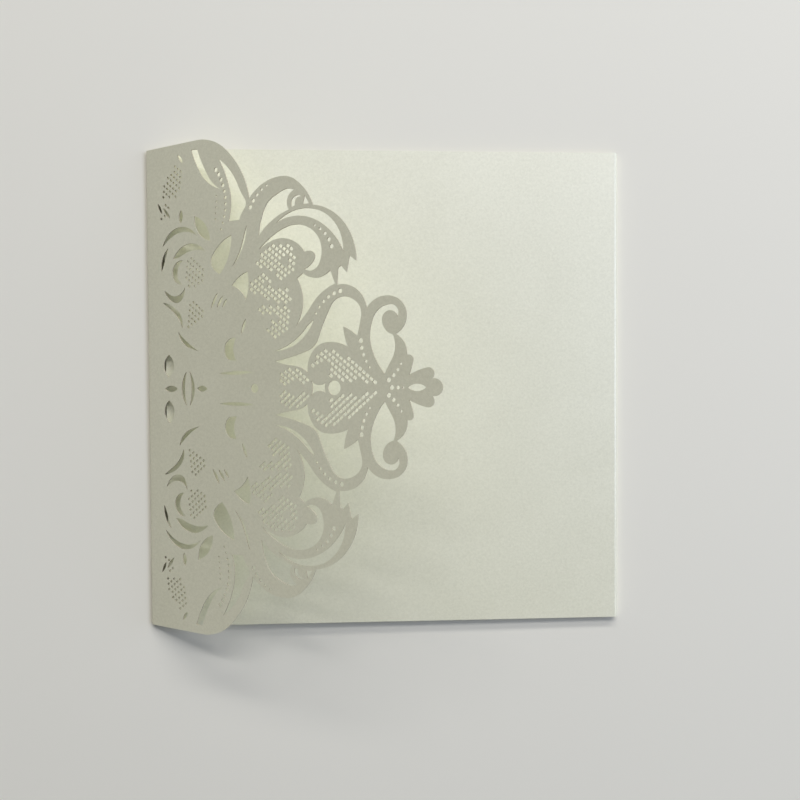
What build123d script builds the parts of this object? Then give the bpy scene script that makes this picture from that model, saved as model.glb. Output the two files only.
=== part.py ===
from build123d import *
import os
from math import cos, radians, sin, tan

# A square wedding invitation card, folded from one sheet of ivory pearl paper.
# The back panel lies on the table, face up. A soft fold at the right brings a plain front panel
# over it, and a sharp crease at the left carries a laser-cut lace flap that has sprung open.
# X runs across the card, Y up the card and Z out of its face. The origin is at the middle of the
# card, on the table.

# Sizes of the folded card, in millimetres and degrees
card_width = 150.0
card_height = 150.0
sheet = 0.3             # thickness of the paper
fold_gap = 1.6          # clear space between the two panels at the soft right fold
panel_rise = 0.4        # angle at which the front panel lifts away towards its free edge
crease_radius = 0.4     # inside radius of the crease that carries the flap
flap_opening = 28.0     # angle between the sprung flap and the back panel
flap_clearance = 0.8    # height of the flap above the free edge of the front panel

# Sizes of the lace
flap_reach = 100.0      # from the crease to the tip of the fleuron, along the flap
pearl_diameter = 1.2    # the small round holes that follow the scrolls
pearl_bridge = 0.6      # least paper left between two of them

# The lace is drawn on a flap of this size and follows the real one in both directions.
DRAWN_REACH = 100.0
DRAWN_HEIGHT = 150.0
PEARL_SIDES = 6         # a hole this small reads as round with so few sides

# Where the folds turn and where the front panel ends, in the XZ section
slope = radians(flap_opening)
lift = radians(panel_rise)
crease_centre = Vector(-card_width / 2 + sheet + crease_radius, sheet + crease_radius)
fold_centre = Vector(card_width / 2 - sheet - fold_gap / 2, sheet + fold_gap / 2)
flap_root = crease_centre + Vector(-sin(slope), cos(slope)) * crease_radius
panel_root = fold_centre + Vector(sin(lift), cos(lift)) * (fold_gap / 2)
panel_face = fold_centre + Vector(sin(lift), cos(lift)) * (fold_gap / 2 + sheet)
free_edge = (
    panel_face.Y + panel_face.X * tan(lift) + flap_clearance - flap_root.Y + flap_root.X * tan(slope)
) / (tan(slope) + tan(lift))
panel_length = (panel_root.X - free_edge) / cos(lift)


# The lace, drawn as the flat flap: u runs from the crease to the tip, v up from the middle line.
# A shape is its corners in order. A list between two corners holds the points that a smooth edge
# passes on its way, and corners with nothing between them are joined by a straight edge.
flap_edge = [
    (0, 0), (0, 75), (21, 75),
    [(26.0, 73.9), (31.2, 70.6), (36.0, 64.8)], (39.7, 55.0),
    [(47.3, 59.6), (51.5, 59.9), (55.8, 58.3)], (61.6, 50.6),
    [(68.2, 47.8), (71.2, 45.0)], (75.2, 34.0),
    (73.1, 35.6), (72.2, 31.2), (70.4, 33.1), (69.5, 32.6), (69.2, 28.0),
    [(77.5, 23.6)], (78.2, 21.2),
    [(82.0, 23.9), (87.0, 23.5)], (86.8, 14.0),
    [(89.7, 10.8)], (90.0, 8.4),
    [(91.3, 8.3), (91.8, 7.0)], (90.6, 3.2),
    [(93.4, 4.5), (95.8, 5.1)], (96.7, 2.1),
    [(99.3, 1.6)], (100, 0), (0, 0),
]

lobe_openings = {
    "sickle": [(20.4, 72.3), [(22.3, 67.7), (25.0, 62.9)], (29.2, 59.2), [(24.4, 61.7), (21.3, 65.2)],
               (18.0, 72.4)],
    "blade": [(28.5, 68.2), [(32.6, 64.4), (35.8, 59.2), (38.1, 55.2), (37.9, 52.3)], (36.1, 49.3),
              (32.0, 49.4), [(32.9, 53.2), (32.5, 58.8)]],
    "thorn": [(38.7, 47.5), [(36.7, 40.0)], (33.0, 35.7), [(35.9, 40.0), (37.3, 43.6)]],
    "petal": [(33.1, 45.2), [(28.7, 43.0), (25.6, 39.6), (25.8, 36.2)], (28.6, 34.0), [(31.3, 37.7)]],
}

arch_openings = {
    "arch": [(43.0, 43.9), [(43.7, 48.0), (45.2, 51.7), (48.0, 54.4), (51.6, 55.9)], (55.3, 55.5),
             [(53.4, 54.0)], (53.6, 50.2), [(46.2, 46.8)]],
    "volute": [(54.6, 50.8), [(55.3, 53.6)], (57.8, 53.3), [(56.0, 52.9)], (55.7, 51.2)],
    "spandrel": [(58.8, 53.6), (60.3, 51.1), (58.3, 51.2)],
}

acanthus_openings = {
    "vein": [(49.0, 46.8), [(57.6, 50.0), (63.4, 48.9)], (71.2, 36.8), [(66.1, 43.9), (60.9, 47.1)]],
    "curl": [(42.9, 39.8), [(47.0, 43.0), (52.4, 45.4), (62.0, 43.1), (63.4, 34.2)], (58.6, 33.2),
             [(60.3, 33.9), (61.9, 35.7), (61.0, 37.9)], (58.7, 37.9), [(56.0, 40.7), (46.6, 41.7)]],
    "bay": [(68.5, 28.4), (67.0, 32.2), [(64.7, 30.8)], (58.1, 32.1), (56.1, 30.7), [(57.1, 20.0)],
            (55.5, 17.3), [(58.3, 19.9), (60.8, 22.9)]],
}

heart_openings = {
    "vine": [(61.6, 18.9), [(56.9, 13.2)], (48.2, 10.6), [(52.2, 11.9), (59.2, 17.1)]],
    "bower": [(48.3, 7.7), [(53.8, 8.8), (59.6, 10.5), (63.0, 13.9), (64.7, 18.0), (67.2, 22.6),
                            (71.4, 24.7), (75.2, 23.0), (76.5, 19.0)], (75.3, 13.9),
              [(73.2, 15.5)], (71.0, 16.6), [(71.4, 13.9)], (72.4, 11.1),
              [(69.2, 12.3), (65.2, 12.5), (61.5, 10.6)], (59.4, 4.2),
              [(57.4, 5.6), (54.8, 6.3)]],
    "drop": [(83.5, 3.6), [(81.4, 6.5), (79.6, 10.6), (80.2, 18.7), (85.4, 21.8)], (87.4, 18.3),
             [(84.3, 20.1), (82.8, 18.0)], (86.0, 13.9), [(86.6, 11.4), (85.5, 7.2)]],
}

fold_openings = {
    "leaf": [(19.0, 52.3), [(24.5, 47.2)], (25.0, 44.3), [(21.8, 45.8)]],
    "hood": [(6.0, 44.2), [(13.0, 49.6)], (20.0, 46.3), [(16.4, 47.8), (9.2, 46.5)]],
    "lash": [(8.3, 43.6), [(6.2, 41.3)], (5.5, 36.4), [(7.5, 41.2)]],
    "brow": [(10.3, 40.2), [(17.2, 44.2)], (23.2, 41.4), [(20.0, 42.0), (13.8, 40.8)]],
    "hook": [(14.4, 39.3), [(11.4, 38.7)], (13.8, 32.1), [(12.3, 34.0)]],
    "cradle": [(6.6, 30.6), [(8.3, 27.9), (11.3, 26.5), (14.1, 27.9)], (15.0, 31.2),
               [(11.2, 28.6), (8.8, 29.2)]],
    "tendril": [(5.8, 26.8), [(9.5, 25.8), (12.6, 23.4)], (13.7, 18.6), [(11.7, 22.1), (9.2, 24.4)]],
    "spray": [(20.3, 11.4), [(16.3, 13.8)], (12.1, 17.6), [(13.2, 14.9), (16.2, 12.6)]],
    "wing": [(38.2, 25.8), [(39.2, 30.0)], (38.9, 34.0), [(36.0, 32.9)], (33.0, 30.3), [(36.0, 28.7)]],
    "bud": [(34.4, 14.8), [(30.0, 12.0)], (31.8, 8.4), (34.6, 8.2), [(33.4, 11.4)]],
    "seed": [(8.2, 10.6), [(10.1, 7.0)], (8.0, 3.6), [(6.0, 7.2)]],
}

# Narrow slits between two points, each with its greatest width
slits = [
    ((12.6, 71.7), (14.6, 69.0), 1.0),
    ((4.2, 57.9), (6.0, 54.4), 0.9),
    ((6.5, 56.2), (9.3, 52.6), 1.0),
    ((13.5, 50.7), (13.7, 54.7), 1.6),
    ((27.7, 28.6), (25.1, 24.1), 0.9),
    ((29.7, 27.6), (27.4, 24.2), 0.9),
    ((31.3, 26.6), (29.4, 24.1), 0.8),
    ((38.1, 20.3), (36.4, 16.1), 1.0),
    ((28.0, 4.5), (40.8, 4.7), 1.1),
]

# Openings that cross the middle line of the lace, drawn whole
middle_openings = {
    "near_eye": [(6.4, 0), [(9.0, 1.0)], (11.6, 0), [(9.0, -1.0)]],
    "near_bracket": [(15.2, 5.3), [(13.2, 0)], (15.2, -5.3), [(14.5, 0)]],
    "far_bracket": [(16.4, 5.3), [(18.4, 0)], (16.4, -5.3), [(17.1, 0)]],
    "far_eye": [(19.4, 0), [(21.4, 0.9)], (23.4, 0), [(21.4, -0.9)]],
    "bow": [(60.5, 2.2), [(63.0, 0.8)], (65.4, 1.6), [(65.0, 0)], (65.4, -1.6), [(63.0, -0.8)],
            (60.5, -2.2), [(60.9, 0)]],
    "stamen": [(90.2, 0), [(92.8, 0.95)], (95.4, 0), [(92.8, -0.95)]],
}

# Strings of pearls: the first, one middle and the last hole of each
pearl_strings = [
    ((27.5, 65.1), (30.8, 57.6), (29.3, 47.3)),
    ((40.1, 52.5), (42.2, 55.4), (46.0, 58.0)),
    ((67.5, 38.6), (65.6, 42.1), (62.1, 44.9)),
    ((70.1, 26.3), (66.3, 24.9), (62.3, 20.6)),
    ((76.4, 12.6), (77.1, 9.0), (79.0, 5.4)),
    ((88.3, 6.2), (86.6, 3.7), (84.7, 2.0)),
]
middle_pearls = [(85.6, 0), (87.4, 0)]

# Round holes on the middle line: centre and radius
middle_knots = [((41.0, 0), 1.3), ((68.0, 0), 2.0)]


def at(point):
    """A point of the drawing, on the real flap."""
    return Vector(point[0] * flap_reach / DRAWN_REACH, point[1] * card_height / DRAWN_HEIGHT)


def bend(points):
    """Draw a smooth edge as arcs: the first takes three points, and the others go on from it."""
    arc = ThreePointArc(*points[:3])
    for point in points[3:]:
        arc = TangentArc(arc @ 1, point, tangent=arc % 1)


def trace(shape):
    """Draw a shape from corner to corner and back to the first."""
    start = shape[0]
    passed = []
    for stop in shape[1:] + shape[:1]:
        if isinstance(stop, list):
            passed = stop
            continue
        if passed:
            bend([at(point) for point in (start, *passed, stop)])
        elif stop != start:
            Line(at(start), at(stop))
        start = stop
        passed = []


def cut_shape(shape):
    """Cut a shape of the drawing out of the sketch."""
    with BuildLine() as edge:
        trace(shape)
    make_face(edge.edges(), mode=Mode.SUBTRACT)


def cut_slit(start, end, width):
    """Cut a pointed slit, bowed by half its width to either side."""
    first = at(start)
    last = at(end)
    along = last - first
    side = Vector(-along.Y, along.X).normalized() * (width / 2)
    middle = (first + last) / 2
    with BuildLine() as edge:
        ThreePointArc(first, middle + side, last)
        ThreePointArc(last, middle - side, first)
    make_face(edge.edges(), mode=Mode.SUBTRACT)


def cut_pearls(first, middle, last):
    """Cut a string of round holes, as many as fit along the curve."""
    string = Spline(at(first), at(middle), at(last), mode=Mode.PRIVATE)
    spans = max(1, int(string.length / (pearl_diameter + pearl_bridge)))
    with Locations(*[string @ (index / spans) for index in range(spans + 1)]):
        RegularPolygon(pearl_diameter / 2, PEARL_SIDES, mode=Mode.SUBTRACT)


with BuildPart() as folded_card:
    # Both panels and both folds are one strip of even thickness, as wide as the card is high.
    with BuildSketch(Plane.XZ) as section:
        with BuildLine():
            inside = {}
            outside = {}
            for face, depth in ((inside, 0), (outside, sheet)):
                crease_turn = 180 - flap_opening
                crease = CenterArc(crease_centre, crease_radius + depth, 270 - crease_turn, crease_turn)
                fold = CenterArc(fold_centre, fold_gap / 2 + depth, -90, 180 - panel_rise)
                Line(crease @ 1, fold @ 0)
                panel = PolarLine(fold @ 1, panel_length, 180 - panel_rise)
                face["flap"] = crease @ 0
                face["panel"] = panel @ 1
            Line(inside["flap"], outside["flap"])
            Line(inside["panel"], outside["panel"])
        make_face()
    extrude(amount=card_height / 2, both=True)

    # The flap goes on from the crease. Its lace is cut square to the paper, so the upper half is
    # drawn on the paper's inside face, mirrored, and given the sheet's thickness.
    flap_plane = Plane(
        origin=(flap_root.X, 0, flap_root.Y),
        x_dir=(cos(slope), 0, sin(slope)),
        z_dir=(-sin(slope), 0, cos(slope)),
    )
    with BuildSketch(flap_plane) as lace:
        with BuildLine():
            trace(flap_edge)
        make_face()
        for motif in (lobe_openings, arch_openings, acanthus_openings, heart_openings, fold_openings):
            for shape in motif.values():
                cut_shape(shape)
        for slit in slits:
            cut_slit(*slit)
        for string in pearl_strings:
            cut_pearls(*string)
        mirror(about=Plane.XZ)
        for shape in middle_openings.values():
            cut_shape(shape)
        for centre, radius in middle_knots:
            with Locations(at(centre)):
                Circle(radius, mode=Mode.SUBTRACT)
        with Locations(*[at(place) for place in middle_pearls]):
            RegularPolygon(pearl_diameter / 2, PEARL_SIDES, mode=Mode.SUBTRACT)
    extrude(amount=sheet)

folded_card.part.label = "folded_card"
os.makedirs("parts", exist_ok=True)
export_step(folded_card.part, "parts/folded_card.step")
print("folded card:", folded_card.part.bounding_box().size, "volume", folded_card.part.volume)
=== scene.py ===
# %% [markdown]
# # A laser-cut invitation card
#
# The real card is one sheet of ivory pearl paper. A laser cuts its lace, and the sheet is then folded
# twice: softly at the right, which brings a plain front panel over the back one, and sharply at the
# left, which brings the lace flap over both. The flap has sprung open.
#
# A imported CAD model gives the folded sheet. It holds the scrolls, the leaves and the rows of pearls,
# but not the fine mesh inside them. So this script reads the outline of the lace from the packed
# model, smooths it, cuts the mesh with Geometry Nodes, and folds the result up again as one closed
# piece.

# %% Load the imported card
from math import cos, pi, radians, sin

import bmesh
import bpy
from mathutils import Matrix, Vector


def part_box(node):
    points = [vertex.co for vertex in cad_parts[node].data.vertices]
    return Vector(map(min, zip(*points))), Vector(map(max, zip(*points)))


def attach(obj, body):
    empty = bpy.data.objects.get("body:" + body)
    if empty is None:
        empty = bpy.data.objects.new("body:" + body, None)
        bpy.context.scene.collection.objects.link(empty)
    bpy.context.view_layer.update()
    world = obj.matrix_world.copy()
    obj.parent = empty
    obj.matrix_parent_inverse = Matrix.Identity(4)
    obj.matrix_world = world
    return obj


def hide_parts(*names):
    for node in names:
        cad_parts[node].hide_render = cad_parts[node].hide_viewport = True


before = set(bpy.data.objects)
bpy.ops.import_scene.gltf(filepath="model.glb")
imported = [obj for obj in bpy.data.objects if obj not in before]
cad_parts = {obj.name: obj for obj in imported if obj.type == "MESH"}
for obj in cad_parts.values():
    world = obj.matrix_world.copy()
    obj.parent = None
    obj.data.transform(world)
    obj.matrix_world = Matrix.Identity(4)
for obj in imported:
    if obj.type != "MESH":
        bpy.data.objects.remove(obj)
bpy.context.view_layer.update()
card_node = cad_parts["folded_card"]
MM = 0.001

# %% [markdown]
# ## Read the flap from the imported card
#
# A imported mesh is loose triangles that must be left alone, so a copy is merged and read instead. The
# flap is the only flat part that leans: its outside face looks up and to the left. The largest
# triangle that does so gives the direction, and every triangle in its plane belongs to the flap's
# face. The drawing of the lace is flat, so the flap gets its own directions: u from the crease to the
# tip, v up the card and n out of the paper.

# %% Find the flap's plane
TOUCHING = 0.0002 * MM      # points this close are one point
SAME_PLANE = 0.01 * MM      # faces this close to a plane lie in it
SAME_WAY = 0.9999           # normals whose product is more than this point the same way
LEAN = 0.1                  # a leaning face looks at least this far to the left
LOOK_UP = 0.5               # and at least this far up
UNTURNED = 0.001            # and no further than this along the crease
folded = bmesh.new()
folded.from_mesh(card_node.data)
bmesh.ops.remove_doubles(folded, verts=folded.verts, dist=TOUCHING)
bmesh.ops.recalc_face_normals(folded, faces=folded.faces)


def leaning_faces(side):
    """The faces of the flap's outside (side 1) or inside (side -1)."""
    leaning = [face for face in folded.faces
               if side * face.normal.x < -LEAN and side * face.normal.z > LOOK_UP
               and abs(face.normal.y) < UNTURNED]
    widest = max(leaning, key=lambda face: face.calc_area())
    normal = widest.normal.copy()
    start = widest.verts[0].co.copy()
    level = [face for face in leaning
             if face.normal.dot(normal) > SAME_WAY
             and abs((face.verts[0].co - start).dot(normal)) < SAME_PLANE]
    return level, normal, start


outside_faces, flap_out, on_outside = leaning_faces(1)
inside_faces, _, on_inside = leaning_faces(-1)
sheet = (on_outside - on_inside).dot(flap_out) / MM
flap_up = Vector((0, 1, 0))
flap_along = flap_up.cross(flap_out)
nearest_crease = min((vert.co for face in inside_faces for vert in face.verts),
                     key=lambda place: place.dot(flap_along))
flap_root = Vector((nearest_crease.x, 0, nearest_crease.z))
print("sheet", round(sheet, 3), "mm thick, flap face of", len(outside_faces), "triangles")

# %% [markdown]
# ## Turn the face into outlines
#
# The edges that only one triangle of the face uses are its rim: the outline of the flap and of every
# opening. Walked from end to end they make closed loops, and each loop is written in the flap's own u
# and v, in millimetres.

# %% Walk the rims
def rim_loops(faces):
    """The closed loops of vertices around a patch of faces."""
    patch = set(faces)
    rim = [edge for face in faces for edge in face.edges
           if sum(1 for other in edge.link_faces if other in patch) == 1]
    following = {}
    for edge in rim:
        owner = next(face for face in edge.link_faces if face in patch)
        corners = [loop for loop in owner.loops if loop.edge == edge]
        following[corners[0].vert] = corners[0].link_loop_next.vert
    loops = []
    while following:
        start, vert = following.popitem()
        loop = [start]
        while vert != start:
            loop.append(vert)
            vert = following.pop(vert)
        loops.append(loop)
    return loops


def on_flap(place):
    """A place in the card, in the flap's own u and v, in millimetres."""
    step = (place - flap_root) / MM
    return Vector((step.dot(flap_along), step.y))


outlines = [[on_flap(vert.co) for vert in loop] for loop in rim_loops(outside_faces)]
outlines.sort(key=len, reverse=True)
print(len(outlines), "outlines with", sum(len(outline) for outline in outlines), "points")

# %% [markdown]
# ## Make the curves smooth
#
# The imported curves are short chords. Where the outline turns gently, a point is added over the middle
# of each chord, on the arc that the turns at both its ends describe. Sharp corners of the drawing
# stay sharp: at a corner the arc takes its direction from the other end of the chord alone. A long
# run that meets short chords is a straight edge, so the point between them counts as a corner too.
# A Subdivision Surface would be less work, but it would round off the tips of the leaves as well.

# %% Add the points of the arcs
CORNER = radians(16)        # a sharper turn is a corner
STRAIGHT = 0.0005           # a smaller turn, in radians, is none
LONG_RUN = 2.5              # a run this many times as long as the next one is straight
LEAST_RISE = 0.002          # a flatter arc stays a chord
PEARL_POINTS = 8            # a small round hole has at most this many points
PEARL_REACH = 1.5           # and is narrower than this, in millimetres


def directions(points):
    """The direction of the outline at each point, or None at a corner."""
    found = []
    for index, point in enumerate(points):
        before = point - points[index - 1]
        after = points[(index + 1) % len(points)] - point
        like = 1 / LONG_RUN < before.length / after.length < LONG_RUN
        if before.angle(after) > CORNER or not like:
            found.append(None)
        else:
            found.append((before.normalized() * after.length
                          + after.normalized() * before.length).normalized())
    return found


def mirrored_over(direction, chord):
    """The direction that an arc has at the other end of its chord."""
    return 2 * direction.dot(chord) * chord - direction


def smoothed(points):
    """The outline with one more point over the middle of each chord that bends."""
    aims = directions(points)
    result = []
    for index, point in enumerate(points):
        result.append(point)
        other = (index + 1) % len(points)
        step = points[other] - point
        chord = step.normalized()
        leave = aims[index] or (mirrored_over(aims[other], chord) if aims[other] else chord)
        arrive = aims[other] or (mirrored_over(aims[index], chord) if aims[index] else chord)
        rise = (leave - arrive) * step.length / 8       # at the middle of a cubic curve
        if rise.length > LEAST_RISE:
            result.append((point + points[other]) / 2 + rise)
    return result


def straight_removed(points):
    """The outline without the points that lie on a straight run."""
    return [point for index, point in enumerate(points)
            if (point - points[index - 1]).angle(points[(index + 1) % len(points)] - point)
            > STRAIGHT]


def is_pearl(points):
    """Whether an outline is one of the small round holes."""
    reach = max(point.x for point in points) - min(point.x for point in points)
    return len(points) <= PEARL_POINTS and reach < PEARL_REACH


pearls = [sum(outline, Vector((0, 0))) / len(outline) for outline in outlines if is_pearl(outline)]
outlines = [smoothed(straight_removed(outline)) for outline in outlines if not is_pearl(outline)]
print(len(pearls), "pearls,", len(outlines), "other outlines with",
      sum(len(outline) for outline in outlines), "points")

# %% [markdown]
# ## Grade the pearls
#
# Rows of round holes follow the scrolls like strings of pearls, and each row runs from a large pearl
# to small ones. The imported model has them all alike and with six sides, which is enough for a solid.
# Here each keeps its place and gets its own radius, from how far along its row it lies. One faint
# second row of tiny holes, beside the long row of the top lobe, is added.

# %% Give each pearl its radius
pearl_rows = [  # the large end and the small end of each row
    ((27.5, 65.1), (29.3, 47.3)),
    ((40.1, 52.5), (46.0, 58.0)),
    ((67.5, 38.6), (62.1, 44.9)),
    ((70.1, 26.3), (62.3, 20.6)),
    ((76.4, 12.6), (79.0, 5.4)),
    ((84.7, 2.0), (88.3, 6.2)),
    ((85.6, 0.0), (91.0, 0.0)),
]
large_pearl = 0.66
small_pearl = 0.36
tiny_pearl = 0.3
tiny_pearls = [(27.6, 57.3), (27.6, 55.6), (27.5, 53.9), (27.3, 52.2), (27.2, 50.5), (88.9, 0.0)]


def pearl_radius(place):
    """The radius of a pearl, from its place along the nearest row."""
    place = Vector((place.x, abs(place.y)))

    def detour(row):
        start, end = Vector(row[0]), Vector(row[1])
        return (place - start).length + (place - end).length - (start - end).length

    big_end, small_end = min(pearl_rows, key=detour)
    from_big = (place - Vector(big_end)).length
    from_small = (place - Vector(small_end)).length
    return large_pearl + (small_pearl - large_pearl) * from_big / (from_big + from_small)


graded = [(pearl, pearl_radius(pearl)) for pearl in pearls]
for u, v in tiny_pearls:
    for side in ((1, -1) if v else (1,)):
        graded.append((Vector((u, side * v)), tiny_pearl))
pearl_radii = [radius for _, radius in graded]
print(len(graded), "pearls, radius", round(min(pearl_radii), 2), "to", round(max(pearl_radii), 2))

# %% [markdown]
# ## Mark the fields of mesh
#
# Between the scrolls the paper is pierced by rows of short slots that slant down towards the tip.
# They fill closed fields: the disc of each ring, the two halves of the tulip, the heart behind the
# fleuron and a few leaves near the crease, whose slots are finer. The fields are drawn as polygons on
# the upper half, and each carries the size of its slots. A few spots inside them stay solid, such as
# the dot in the middle of a ring, and carry a size of nothing. Slots set by hand would each need a
# place, but a field needs only its rim, and the lattice does the rest.

# %% Draw the fields and the solid spots
mesh_fields = {
    "disc": [(42.3, 36.0), (43.6, 38.0), (45.5, 39.7), (48.5, 41.0), (52.2, 40.9), (55.0, 39.0),
             (56.2, 36.0), (55.9, 33.4), (54.5, 32.0), (52.0, 31.3), (50.0, 30.4), (48.2, 31.6),
             (48.4, 33.2), (45.5, 34.2), (42.6, 34.6)],
    "neck": [(40.4, 31.6), (43.3, 33.0), (45.2, 33.6), (47.9, 31.0), (47.4, 29.0), (44.4, 28.6),
             (41.5, 27.3), (40.0, 28.5)],
    "tulip_head": [(43.2, 28.0), (46.0, 28.5), (48.4, 28.4), (50.0, 27.9), (51.5, 28.4),
                   (53.1, 27.5), (54.4, 24.2), (51.2, 24.3), (47.0, 24.9), (44.3, 25.9)],
    "tulip_foot": [(43.0, 23.4), (46.0, 23.4), (50.0, 23.6), (54.2, 23.4), (54.2, 20.5),
                   (53.6, 18.0), (51.9, 15.7), (50.4, 15.0), (49.0, 14.1), (46.0, 14.1),
                   (45.6, 17.2), (47.0, 18.8), (49.4, 19.5), (50.1, 20.5), (48.0, 20.9),
                   (45.3, 21.1), (43.0, 22.2)],
    "heart": [(61.0, 3.9), (60.8, 6.0), (62.0, 8.6), (65.4, 10.5), (68.5, 10.1), (70.6, 8.9),
              (73.9, 7.5), (78.3, 4.4), (82.8, 1.3), (80.8, 0.1), (76.6, 1.9), (71.7, 1.9),
              (70.2, 1.2), (67.9, 2.9), (66.3, 2.9), (66.8, 5.0), (66.2, 7.0), (64.5, 7.8),
              (62.9, 7.0), (61.6, 5.2)],
    "lobe": [(5.0, 70.1), (7.5, 71.0), (13.6, 68.5), (14.7, 63.8), (14.2, 60.8), (11.4, 58.8),
             (6.0, 58.8), (4.8, 63.6)],
    "lobe_foot": [(6.4, 57.8), (9.7, 57.4), (9.2, 52.6), (5.1, 53.0)],
    "leaf": [(16.0, 18.5), (16.0, 26.5), (19.0, 27.3), (22.5, 23.5), (23.2, 21.0), (18.5, 20.2)],
    "shell": [(15.5, 31.0), (15.5, 39.6), (19.0, 40.0), (23.0, 36.5), (22.0, 32.5), (19.0, 31.0)],
}
ring_centre, ring_reach = (54.8, 0.0), (5.4, 6.0)
RING_STEPS = 12
mesh_fields["ring"] = [(ring_centre[0] + ring_reach[0] * cos(turn * pi / RING_STEPS),
                        ring_reach[1] * sin(turn * pi / RING_STEPS))
                       for turn in range(RING_STEPS + 1)]
solid_spots = [((51.9, 36.0), 1.5), ((45.3, 30.1), 0.5), ((63.8, 4.2), 2.7), (ring_centre, 2.5)]
fine_fields = ("lobe", "lobe_foot", "leaf", "shell")
fine_slot = 0.68
SPOT_SIDES = 16


def flat_object(name, points, edges, faces):
    """A new object from the points, edges and faces of a flat drawing."""
    mesh = bpy.data.meshes.new(name)
    mesh.from_pydata(points, edges, faces)
    item = bpy.data.objects.new(name, mesh)
    bpy.context.scene.collection.objects.link(item)
    return item


def spot_outline(centre, reach):
    """A round spot as a polygon."""
    return [(centre[0] + reach * cos(turn * 2 * pi / SPOT_SIDES),
             centre[1] + reach * sin(turn * 2 * pi / SPOT_SIDES)) for turn in range(SPOT_SIDES)]


corners, polygons, sizes_of_slots = [], [], []
layers = [(field, 0, fine_slot if name in fine_fields else 1.0)
          for name, field in mesh_fields.items()]
layers += [(spot_outline(centre, reach), 1, 0.0) for centre, reach in solid_spots]
for outline, level, size in layers:
    polygons.append(range(len(corners), len(corners) + len(outline)))
    corners += [(u, v, level) for u, v in outline]
    sizes_of_slots.append(size)
fields = flat_object("mesh_fields", corners, [], polygons)
field_sizes = fields.data.attributes.new("slot_size", "FLOAT", "FACE")
field_sizes.data.foreach_set("value", sizes_of_slots)
print(len(mesh_fields), "fields and", len(solid_spots), "solid spots")

# %% [markdown]
# ## Lay out what the cutter follows
#
# One flat object holds the drawing: the outlines as closed chains of edges, and the pearls as loose
# points that carry their radius. The Geometry Nodes tree below cuts along all of it.

# %% Make the flat drawing
corners, edges = [], []
for outline in outlines:
    first = len(corners)
    corners += [(point.x, point.y, 0) for point in outline]
    edges += [(first + index, first + (index + 1) % len(outline)) for index in range(len(outline))]
radii = [0.0] * len(corners) + pearl_radii
corners += [(point.x, point.y, 0) for point, _ in graded]
lace = flat_object("lace", corners, edges, [])
lace.data.attributes.new("pearl_radius", "FLOAT", "POINT").data.foreach_set("value", radii)
print("drawing with", len(corners), "points and", len(edges), "edges")

# %% [markdown]
# ## Build the cutter
#
# The tree works as the laser does. It lays a lattice of short slots over the whole drawing, keeps
# those that fall inside a field, on paper, and far enough from every edge and from the middle line,
# and mirrors them below that line. Outlines, pearls and slots together are filled as one flat face
# with holes, and that face is given the thickness of the sheet. The walls that this makes are the cut
# edges, so they get their own material. Hundreds of Boolean cuts would give the same holes, but they
# are slow and leave torn edges, and one filled drawing is clean from the start.

# %% Helpers that place nodes
def add_node(tree, kind, inputs=None, **settings):
    """Add a node. An input is a value, the socket that feeds it, or None to leave it alone."""
    node = tree.nodes.new(kind)
    for setting, value in settings.items():
        setattr(node, setting, value)
    for socket, value in (inputs or {}).items():
        if isinstance(value, bpy.types.NodeSocket):
            tree.links.new(value, node.inputs[socket])
        elif value is not None:
            node.inputs[socket].default_value = value
    return node


def group_inputs(tree, sockets):
    """Give a group its named inputs, and return what they put out."""
    for name, kind, value in sockets:
        socket = tree.interface.new_socket(name, in_out="INPUT", socket_type=kind)
        if value is not None:
            socket.default_value = value
    return tree.nodes.new("NodeGroupInput").outputs


def number(tree, operation, first, second=0.0):
    """A sum, product or other result of two numbers."""
    return add_node(tree, "ShaderNodeMath", {0: first, 1: second}, operation=operation).outputs[0]


def joined(tree, *parts):
    """Several geometries as one."""
    join = tree.nodes.new("GeometryNodeJoinGeometry")
    for part in parts:
        tree.links.new(part, join.inputs[0])
    return join.outputs[0]


# %% The tree's inputs
cutter = bpy.data.node_groups.new("lace_cutter", "GeometryNodeTree")
given = group_inputs(cutter, [
    ("Drawing", "NodeSocketGeometry", None),
    ("Mesh Fields", "NodeSocketObject", None),
    ("Sheet", "NodeSocketFloat", 0.3),
    ("Slot Spacing", "NodeSocketFloat", 1.46),
    ("Row Spacing", "NodeSocketFloat", 1.42),
    ("Row Shift", "NodeSocketFloat", 0.6),
    ("Row Angle", "NodeSocketFloat", radians(-39)),
    ("First Slot", "NodeSocketVector", (72.2, 4.6, 0.0)),
    ("Slot Length", "NodeSocketFloat", 1.3),
    ("Slot Width", "NodeSocketFloat", 0.9),
    ("Least Bridge", "NodeSocketFloat", 0.1),
    ("Paper", "NodeSocketMaterial", None),
    ("Cut Edge", "NodeSocketMaterial", None),
])
cutter.interface.new_socket("Lace", in_out="OUTPUT", socket_type="NodeSocketGeometry")
print("cutter has", len(cutter.interface.items_tree) - 1, "inputs")


# %% The drawn outlines and the pearls
def named(attribute, **settings):
    """A named attribute of the geometry that a node works on."""
    return add_node(cutter, "GeometryNodeInputNamedAttribute", {"Name": attribute},
                    **settings).outputs[0]


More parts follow.
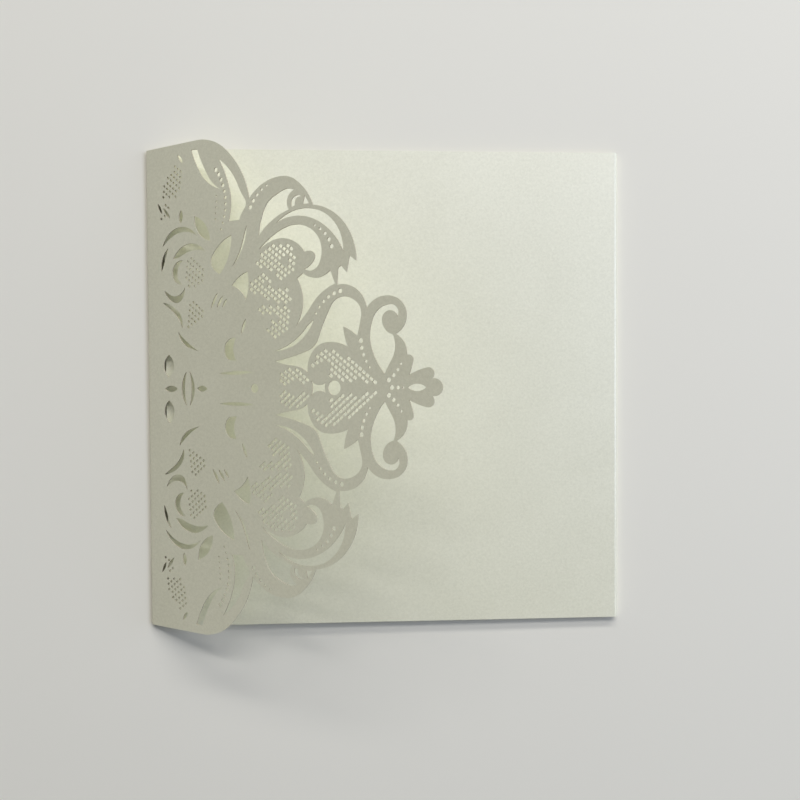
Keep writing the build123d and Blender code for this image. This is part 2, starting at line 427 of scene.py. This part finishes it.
PEARL_SIDES = 18
radius = named("pearl_radius")
parted = add_node(cutter, "GeometryNodeSeparateGeometry",
                  {"Geometry": given["Drawing"],
                   "Selection": number(cutter, "GREATER_THAN", radius, 0.0)}).outputs
drawn = add_node(cutter, "GeometryNodeMeshToCurve", {"Mesh": parted["Inverted"]}).outputs[0]
pearl = add_node(cutter, "GeometryNodeCurvePrimitiveCircle",
                 {"Resolution": PEARL_SIDES, "Radius": 1.0}).outputs["Curve"]
pearl_points = add_node(cutter, "GeometryNodeMeshToPoints",
                        {"Mesh": parted["Selection"]}).outputs[0]
pearl_copies = add_node(cutter, "GeometryNodeInstanceOnPoints",
                        {"Points": pearl_points, "Instance": pearl, "Scale": radius}).outputs[0]
pearl_rims = add_node(cutter, "GeometryNodeRealizeInstances", {0: pearl_copies}).outputs[0]
rims = joined(cutter, drawn, pearl_rims)
print("pearls have", PEARL_SIDES, "sides")

# %% The lattice of slots
LATTICE = 121       # slots along a row, and rows
across = number(cutter, "MULTIPLY", given["Slot Spacing"], LATTICE - 1)
up = number(cutter, "MULTIPLY", given["Row Spacing"], LATTICE - 1)
lattice = add_node(cutter, "GeometryNodeMeshGrid",
                   {"Size X": across, "Size Y": up, "Vertices X": LATTICE,
                    "Vertices Y": LATTICE}).outputs["Mesh"]
# A position is read anew by each node that it feeds. So one node serves twice: its height counts the
# rows here, before the lattice is turned, and tells how high each slot lies later.
slot_place = cutter.nodes.new("GeometryNodeInputPosition").outputs[0]
height = add_node(cutter, "ShaderNodeSeparateXYZ", {0: slot_place}).outputs["Y"]
row = number(cutter, "ROUND", number(cutter, "DIVIDE", height, given["Row Spacing"]))
shift = number(cutter, "FLOORED_MODULO", number(cutter, "MULTIPLY", row, given["Row Shift"]),
               given["Slot Spacing"])
along_row = add_node(cutter, "ShaderNodeCombineXYZ", {0: shift}).outputs[0]
shifted = add_node(cutter, "GeometryNodeSetPosition",
                   {"Geometry": lattice, "Offset": along_row}).outputs[0]
turned = add_node(cutter, "ShaderNodeCombineXYZ", {2: given["Row Angle"]}).outputs[0]
laid = add_node(cutter, "GeometryNodeTransform",
                {"Geometry": shifted, "Translation": given["First Slot"],
                 "Rotation": turned}).outputs[0]
slot_points = add_node(cutter, "GeometryNodeMeshToPoints", {"Mesh": laid}).outputs[0]
print("lattice of", LATTICE ** 2, "slots")

# %% Keep the slots that fall on paper, in a field and clear of the edges
LOOK_FROM = 5.0     # how far above the drawing the rays start
above = add_node(cutter, "ShaderNodeVectorMath", {0: slot_place, 1: (0, 0, LOOK_FROM)}).outputs[0]


def found_below(shape, attribute=None):
    """What a ray down from above each slot finds on a flat shape."""
    return add_node(cutter, "GeometryNodeRaycast",
                    {"Target Geometry": shape, "Attribute": attribute, "Source Position": above,
                     "Ray Direction": (0, 0, -1), "Ray Length": 2 * LOOK_FROM}).outputs


field_shape = add_node(cutter, "GeometryNodeObjectInfo",
                       {"Object": given["Mesh Fields"]}).outputs["Geometry"]
slot_size = found_below(field_shape, named("slot_size"))["Attribute"]
paper_shape = add_node(cutter, "GeometryNodeFillCurve", {"Curve": rims}).outputs[0]
on_paper = found_below(paper_shape)["Is Hit"]
rim_wires = add_node(cutter, "GeometryNodeCurveToMesh", {"Curve": rims}).outputs[0]
to_rim = add_node(cutter, "GeometryNodeProximity", {0: rim_wires},
                  target_element="EDGES").outputs["Distance"]
to_middle = height  # the middle line lies at a height of 0
to_edge = number(cutter, "MINIMUM", to_rim, to_middle)
half_slot = number(cutter, "MULTIPLY", number(cutter, "DIVIDE", given["Slot Length"], 2.0),
                   slot_size)
clear = number(cutter, "GREATER_THAN", to_edge,
               number(cutter, "ADD", half_slot, given["Least Bridge"]))
ANY_SIZE = 0.1      # a slot that is left out has a size of 0
pierced = number(cutter, "MULTIPLY", slot_size, on_paper)
pierced = number(cutter, "MULTIPLY", pierced, clear)
upper = add_node(cutter, "GeometryNodeSeparateGeometry",
                 {"Geometry": slot_points,
                  "Selection": number(cutter, "GREATER_THAN", pierced, ANY_SIZE)}).outputs[0]
print("rays start", LOOK_FROM, "mm above the drawing")

# %% Cut the slots and mirror them
ROUNDING = 0.3      # the radius of a slot's corners, as a part of its width
CORNER_POINTS = 3
square_slot = add_node(cutter, "GeometryNodeCurvePrimitiveQuadrilateral",
                       {"Width": given["Slot Length"],
                        "Height": given["Slot Width"]}).outputs["Curve"]
slot = add_node(cutter, "GeometryNodeFilletCurve",
                {"Curve": square_slot, "Count": CORNER_POINTS,
                 "Radius": number(cutter, "MULTIPLY", given["Slot Width"], ROUNDING)},
                mode="POLY").outputs["Curve"]
slot_copies = add_node(cutter, "GeometryNodeInstanceOnPoints",
                       {"Points": upper, "Instance": slot, "Rotation": turned,
                        "Scale": slot_size}).outputs[0]
slot_rims = add_node(cutter, "GeometryNodeRealizeInstances", {0: slot_copies}).outputs[0]
lower_rims = add_node(cutter, "GeometryNodeTransform",
                      {"Geometry": slot_rims, "Scale": (1, -1, 1)}).outputs[0]
print("a slot's corners are rounded by", ROUNDING, "of its width")

# %% Fill the paper around everything and make it as thick as the sheet
MERGE_GAP = 0.0005  # the walls and the base meet closer than this, in millimetres
face = add_node(cutter, "GeometryNodeFillCurve",
                {"Curve": joined(cutter, rims, slot_rims, lower_rims)}).outputs[0]
rise = add_node(cutter, "ShaderNodeCombineXYZ", {2: given["Sheet"]}).outputs[0]
walls = add_node(cutter, "GeometryNodeExtrudeMesh",
                 {"Mesh": face, "Offset": rise, "Offset Scale": 1.0,
                  "Individual": False}).outputs
wall_mark = add_node(cutter, "GeometryNodeStoreNamedAttribute",
                     {"Geometry": walls["Mesh"], "Name": "cut_edge", "Value": walls["Side"]},
                     data_type="BOOLEAN", domain="FACE").outputs[0]
base = add_node(cutter, "GeometryNodeFlipFaces", {"Mesh": face}).outputs[0]
closed = add_node(cutter, "GeometryNodeMergeByDistance",
                  {"Geometry": joined(cutter, wall_mark, base),
                   "Distance": MERGE_GAP}).outputs[0]
whole = add_node(cutter, "GeometryNodeRealizeInstances", {0: closed}).outputs[0]
papered = add_node(cutter, "GeometryNodeSetMaterial",
                   {"Geometry": whole, "Material": given["Paper"]}).outputs[0]
is_wall = named("cut_edge", data_type="BOOLEAN")
edged = add_node(cutter, "GeometryNodeSetMaterial",
                 {"Geometry": papered, "Selection": is_wall,
                  "Material": given["Cut Edge"]}).outputs[0]
cutter.links.new(edged, cutter.nodes.new("NodeGroupOutput").inputs[0])
print("cutter has", len(cutter.nodes), "nodes")

# %% [markdown]
# ## Cut the lace
#
# The inputs are set by the identifiers of their sockets, because a modifier doesn't know their names,
# and before the object is first evaluated. The result becomes a plain mesh, and the drawing, the
# fields and the modifier have done their work.

# %% Run the cutter
pearl_paper = bpy.data.materials.new("pearl_paper_finish")
cut_edge = bpy.data.materials.new("laser_cut_edge")
identifier = {item.name: item.identifier for item in cutter.interface.items_tree
              if item.item_type == "SOCKET"}
cutting = lace.modifiers.new("cutting", "NODES")
cutting.node_group = cutter
for name, value in {"Mesh Fields": fields, "Sheet": sheet, "Paper": pearl_paper,
                    "Cut Edge": cut_edge}.items():
    cutting[identifier[name]] = value
bpy.context.view_layer.update()
finished_lace = lace.evaluated_get(bpy.context.evaluated_depsgraph_get())
cut_lace = bpy.data.meshes.new_from_object(finished_lace)
lace.modifiers.clear()
for item in (lace, fields):
    bpy.data.objects.remove(item)
print("lace of", len(cut_lace.polygons), "faces,", len(cut_lace.vertices), "points, materials",
      [material and material.name for material in cut_lace.materials])

# %% [markdown]
# ## Fold the sheet
#
# Seen from the end, the rest of the sheet is a thin line that runs from the flap's crease round under
# the back panel, round the soft fold and along the front panel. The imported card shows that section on
# its end face. Its rim gives the line, and sweeping it from one end of the card to the other makes
# both panels and both folds. The wall that closes the lace at the crease is taken off, and the two
# parts are merged there, so that the sheet is one closed skin. A flat sheet could be bent with a
# modifier instead, but its folds wouldn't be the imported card's own.

# %% Read the section
LOOKS_OUT = 0.999   # how far the end face of the card looks along the crease
BESIDE = 0.05       # a place of the section this far off the flap isn't on it, in millimetres
card_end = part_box("folded_card")[1].y
end_faces = [face for face in folded.faces
             if face.normal.y > LOOKS_OUT
             and all(abs(vert.co.y - card_end) < SAME_PLANE for vert in face.verts)]


def before_crease(place):
    """Whether a place of the section belongs to the swept sheet, not to the lace."""
    step = place - flap_root
    off_flap = step.dot(flap_out) / MM
    return step.dot(flap_along) < SAME_PLANE or not -BESIDE < off_flap < sheet + BESIDE


loop = max(rim_loops(end_faces), key=len)
while before_crease(loop[0].co) or not before_crease(loop[1].co):
    loop = loop[1:] + loop[:1]
section = [vert.co for vert in loop if before_crease(vert.co)]
print("section of", len(section), "points")

# %% Sweep it from one end of the card to the other
sheet_mesh = bmesh.new()
far, near = [[sheet_mesh.verts.new((place.x, side * card_end, place.z)) for place in section]
             for side in (1, -1)]
for index in range(len(section) - 1):
    sheet_mesh.faces.new((far[index], far[index + 1], near[index + 1], near[index]))
for end in (far, near):
    sheet_mesh.faces.new(end).material_index = 1
print("swept sheet of", len(sheet_mesh.faces), "faces")

# %% Fold the lace up and merge it with the sheet
AT_CREASE = 0.02            # the lace's wall at the crease ends before this, in millimetres
SEAM = 0.003 * MM           # the two parts meet closer than this
to_card = (Matrix((flap_along, flap_up, flap_out)).transposed().to_4x4()
           @ Matrix.Diagonal((MM, MM, MM, 1)))
to_card.translation = flap_root
flat = bmesh.new()
flat.from_mesh(cut_lace)
crease_wall = [face for face in flat.faces if all(vert.co.x < AT_CREASE for vert in face.verts)]
bmesh.ops.delete(flat, geom=crease_wall, context="FACES_ONLY")
flat.transform(to_card)
for face in flat.faces:
    face.material_index -= 1
flat.to_mesh(cut_lace)
sheet_mesh.from_mesh(cut_lace)
bmesh.ops.remove_doubles(sheet_mesh, verts=sheet_mesh.verts, dist=SEAM)
bmesh.ops.recalc_face_normals(sheet_mesh, faces=sheet_mesh.faces)
for face in sheet_mesh.faces:
    face.smooth = True
gaps = [edge for edge in sheet_mesh.edges if not edge.is_manifold]
print("removed", len(crease_wall), "crease walls; open edges left:", len(gaps),
      "volume", round(sheet_mesh.calc_volume() / MM ** 3), "cubic mm")

# %% Make the card's mesh
SHARP_EDGE = radians(30)
card_mesh = bpy.data.meshes.new("pearl_card")
sheet_mesh.to_mesh(card_mesh)
left_over = [attribute.name for attribute in card_mesh.attributes
             if attribute.name in ("cut_edge", "UVMap")]
for name in left_over:
    card_mesh.attributes.remove(card_mesh.attributes[name])
card_mesh.materials.append(pearl_paper)
card_mesh.materials.append(cut_edge)
card_mesh.set_sharp_from_angle(angle=SHARP_EDGE)
pearl_card = bpy.data.objects.new("pearl_card", card_mesh)
bpy.context.scene.collection.objects.link(pearl_card)
print("card of", sum(len(polygon.vertices) - 2 for polygon in card_mesh.polygons), "triangles")

# %% [markdown]
# ## Make the pearl paper
#
# Pearl card is ivory paper with a coat of mica. From close by it shows short fibres, a fine glitter
# of flecks and slow, cloudy changes of tone. All three come from one shader node group, so that the
# face of the paper and its cut edges share them. The group gives values that change over the surface,
# and each material turns them into its own colour, roughness and relief.

# %% Build the paper fibre group
FLECK_FROM = 0.8            # only flakes brighter than this catch the light
FINE_SHARE = 0.75           # how much of the tone is fibre, the rest is cloud
FLAKE_RELIEF = 0.35         # how far a flake stands up, beside a fibre
fibre = bpy.data.node_groups.new("paper_fibre", "ShaderNodeTree")
sizes = group_inputs(fibre, [
    ("Fibre Size", "NodeSocketFloat", 0.0004),
    ("Fleck Size", "NodeSocketFloat", 0.0003),
    ("Cloud Size", "NodeSocketFloat", 0.02),
])
for name in ("Tone", "Flecks", "Relief"):
    fibre.interface.new_socket(name, in_out="OUTPUT", socket_type="NodeSocketFloat")
here = fibre.nodes.new("ShaderNodeTexCoord").outputs["Object"]
fine = add_node(fibre, "ShaderNodeTexNoise",
                {"Vector": here, "Scale": number(fibre, "DIVIDE", 1.0, sizes["Fibre Size"]),
                 "Detail": 3.0, "Roughness": 0.6, "Distortion": 0.6}).outputs["Fac"]
cloud = add_node(fibre, "ShaderNodeTexNoise",
                 {"Vector": here, "Scale": number(fibre, "DIVIDE", 1.0, sizes["Cloud Size"]),
                  "Detail": 3.0}).outputs["Fac"]
flake = add_node(fibre, "ShaderNodeTexVoronoi",
                 {"Vector": here,
                  "Scale": number(fibre, "DIVIDE", 1.0, sizes["Fleck Size"])}).outputs["Color"]
shine = add_node(fibre, "ShaderNodeSeparateColor", {0: flake}).outputs[0]
flecks = add_node(fibre, "ShaderNodeMapRange",
                  {"Value": shine, "From Min": FLECK_FROM, "From Max": 1.0}).outputs[0]
tone = number(fibre, "ADD", number(fibre, "MULTIPLY", fine, FINE_SHARE),
              number(fibre, "MULTIPLY", cloud, 1 - FINE_SHARE))
relief = number(fibre, "ADD", fine, number(fibre, "MULTIPLY", shine, FLAKE_RELIEF))
given_out = fibre.nodes.new("NodeGroupOutput").inputs
for socket, value in (("Tone", tone), ("Flecks", flecks), ("Relief", relief)):
    fibre.links.new(value, given_out[socket])
print("fibre group has", len(fibre.nodes), "nodes")


# %% Make the two finishes
def linear(red, green, blue):
    """A colour as it is seen on a screen, 0 to 255, as the shader wants it."""
    return [((value / 255 + 0.055) / 1.055) ** 2.4 for value in (red, green, blue)] + [1.0]


def finish_paper(material, dark, light, fibre_size, rough, bright, relief_depth):
    """Give a material the paper's fibre between two colours and two roughnesses."""
    material.use_nodes = True
    tree = material.node_tree
    shader = tree.nodes["Principled BSDF"]
    paper = tree.nodes.new("ShaderNodeGroup")
    paper.node_tree = fibre
    paper.inputs["Fibre Size"].default_value = fibre_size
    stretched = add_node(tree, "ShaderNodeMapRange",
                         {"Value": paper.outputs["Tone"], "From Min": 0.3,
                          "From Max": 0.7}).outputs[0]
    colour = add_node(tree, "ShaderNodeMix", {0: stretched, 6: dark, 7: light},
                      data_type="RGBA").outputs[2]
    tree.links.new(colour, shader.inputs["Base Color"])
    roughness = add_node(tree, "ShaderNodeMapRange",
                         {"Value": paper.outputs["Flecks"], "To Min": rough,
                          "To Max": bright}).outputs[0]
    tree.links.new(roughness, shader.inputs["Roughness"])
    bump = add_node(tree, "ShaderNodeBump",
                    {"Height": paper.outputs["Relief"], "Strength": 0.5,
                     "Distance": relief_depth}).outputs[0]
    tree.links.new(bump, shader.inputs["Normal"])
    material.diffuse_color = light
    return shader


paper_shader = finish_paper(pearl_paper, dark=linear(222, 220, 190), light=linear(239, 237, 209),
                            fibre_size=0.8 * MM, rough=0.5, bright=0.4, relief_depth=0.02 * MM)
paper_shader.inputs["IOR"].default_value = 2.5
finish_paper(cut_edge, dark=linear(172, 162, 136), light=linear(194, 185, 162),
             fibre_size=0.1 * MM, rough=0.75, bright=0.6, relief_depth=0.01 * MM)
print("finishes:", pearl_paper.name, cut_edge.name)

# %% [markdown]
# ## Light it and look at it
#
# The card lies on a plain pale floor. Two long, narrow lamps hang beyond its top, one low and one
# high, so the lace throws its shadow down the panel in level streaks. A soft box at the right lights
# the flat panel more than the flap, which leans away from it, and so the lace stands out darker, as
# it does on the real card. A faint lamp at the lower left opens up the shadow under the flap. The
# world is dim for the rays that light the card, but Light Path shows it pale to the camera and in the
# gloss, as a backdrop. The camera looks down from the height of a hand, almost square to the panel.

# %% Make the floor
FLOOR = 1.5
floor_corners = [(-FLOOR, -FLOOR, 0), (FLOOR, -FLOOR, 0), (FLOOR, FLOOR, 0), (-FLOOR, FLOOR, 0)]
floor = flat_object("floor", floor_corners, [], [(0, 1, 2, 3)])
floor_finish = bpy.data.materials.new("pale_floor")
floor_finish.use_nodes = True
floor_shader = floor_finish.node_tree.nodes["Principled BSDF"]
floor_shader.inputs["Base Color"].default_value = linear(249, 245, 227)
floor_shader.inputs["Roughness"].default_value = 0.8
floor.data.materials.append(floor_finish)
print("floor", 2 * FLOOR, "m wide")

# %% Make the world
FILL, BACKDROP = 0.03, 0.6
world = bpy.data.worlds.new("pale_studio")
bpy.context.scene.world = world
world.use_nodes = True
sky = world.node_tree
fill = sky.nodes["Background"]
fill.inputs["Color"].default_value = (1.0, 0.985, 0.84, 1.0)
fill.inputs["Strength"].default_value = FILL
backdrop = add_node(sky, "ShaderNodeBackground",
                    {"Color": (1.0, 0.985, 0.9, 1.0), "Strength": BACKDROP})
ray = sky.nodes.new("ShaderNodeLightPath").outputs
seen = number(sky, "MAXIMUM", ray["Is Camera Ray"], ray["Is Glossy Ray"])
seen = number(sky, "MAXIMUM", seen, ray["Is Transmission Ray"])
studio = add_node(sky, "ShaderNodeMixShader",
                  {0: seen, 1: fill.outputs[0], 2: backdrop.outputs[0]}).outputs[0]
sky.links.new(studio, sky.nodes["World Output"].inputs["Surface"])
print("world: fill", FILL, "and backdrop", BACKDROP)


# %% Hang the lamps
def add_lamp(name, place, length, width, power, colour):
    """A soft lamp that shines on the middle of the card. Its length lies across the card."""
    data = bpy.data.lights.new(name, "AREA")
    data.shape = "RECTANGLE"
    data.size = length
    data.size_y = width
    data.energy = power
    data.color = colour
    lamp = bpy.data.objects.new(name, data)
    lamp.location = place
    lamp.rotation_euler = Vector(place).to_track_quat("Z", "Y").to_euler()
    lamp.visible_camera = False
    bpy.context.scene.collection.objects.link(lamp)
    return lamp


lamps = [
    add_lamp("high_strip", (0.2, 0.85, 1.0), 1.4, 0.08, 6.5, (1.0, 1.0, 1.08)),
    add_lamp("low_strip", (0.48, 2.4, 1.4), 3.2, 0.24, 38.0, (1.0, 1.0, 1.05)),
    add_lamp("soft_box", (1.8, 0.2, 1.2), 1.2, 1.2, 20.2, (0.84, 0.95, 1.26)),
    add_lamp("left_fill", (-0.7, -0.6, 0.5), 0.5, 0.5, 0.3, (1.0, 0.95, 0.82)),
]
print("lamps:", [(lamp.name, round(lamp.data.energy, 2)) for lamp in lamps])

# %% Place the camera
camera_data = bpy.data.cameras.new("camera")
camera_data.lens = 30.56
camera_data.sensor_width = 36.0
camera_data.clip_start = 0.01
camera = bpy.data.objects.new("camera", camera_data)
camera.location = (-0.003499, -0.000081, 0.219261)
camera.rotation_mode = "ZXY"
camera.rotation_euler = (-0.018, -0.037, -0.006)
bpy.context.scene.collection.objects.link(camera)
bpy.context.scene.camera = camera
bpy.context.scene.view_settings.view_transform = "Standard"
print("camera", round(camera.location.z, 3), "m above the floor")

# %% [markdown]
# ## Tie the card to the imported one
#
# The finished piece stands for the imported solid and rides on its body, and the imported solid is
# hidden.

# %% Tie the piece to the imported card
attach(pearl_card, "root")
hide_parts("folded_card")
